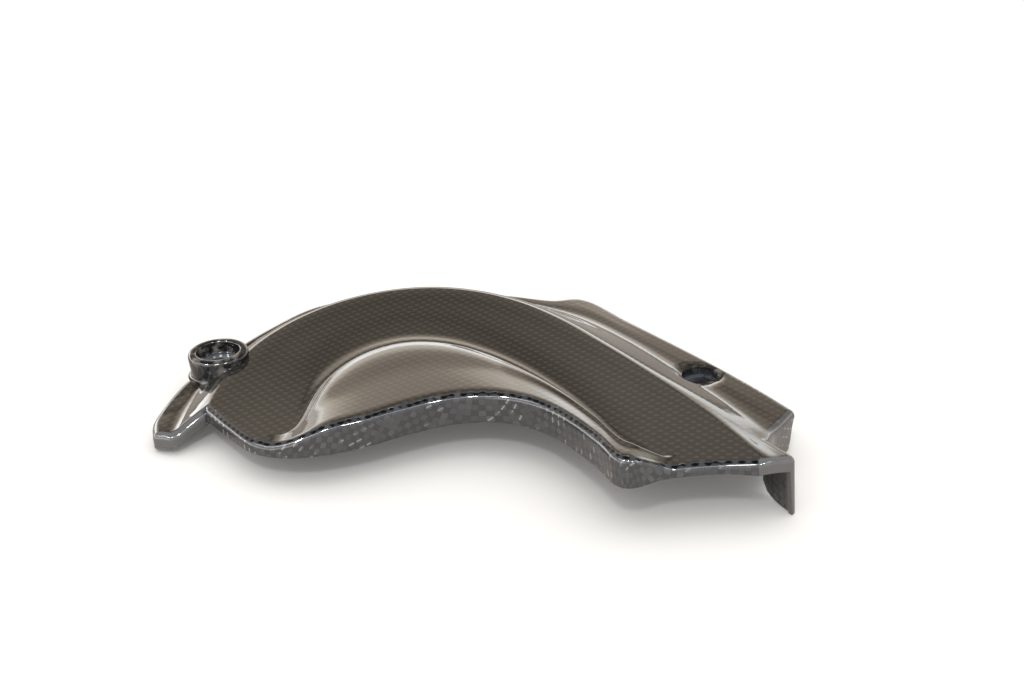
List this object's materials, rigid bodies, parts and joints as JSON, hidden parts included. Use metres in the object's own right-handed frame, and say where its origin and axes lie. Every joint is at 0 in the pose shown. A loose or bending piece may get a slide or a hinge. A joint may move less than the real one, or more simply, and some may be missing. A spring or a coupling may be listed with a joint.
{
  "type": "motorcycle sprocket cover",
  "caption": "One-piece moulded carbon fibre cover that arches over a front sprocket, with a raised panel, a bolted flange and a pointed tail guard.",
  "frame": {"origin": "axis of the front bolt hole, on the underside of its floor, which seats on the engine", "axes": "+Z out of the face along both bolts, +X from the front leg to the rear tail, +Y from the open side to the crown of the arch"},
  "size_m": [0.2105, 0.1546, 0.0289],
  "materials": {
    "carbon": "woven carbon fibre laminate under clear gloss resin"
  },
  "bodies": {
    "root": {"cover_shell": "carbon"}
  },
  "joints": []
}
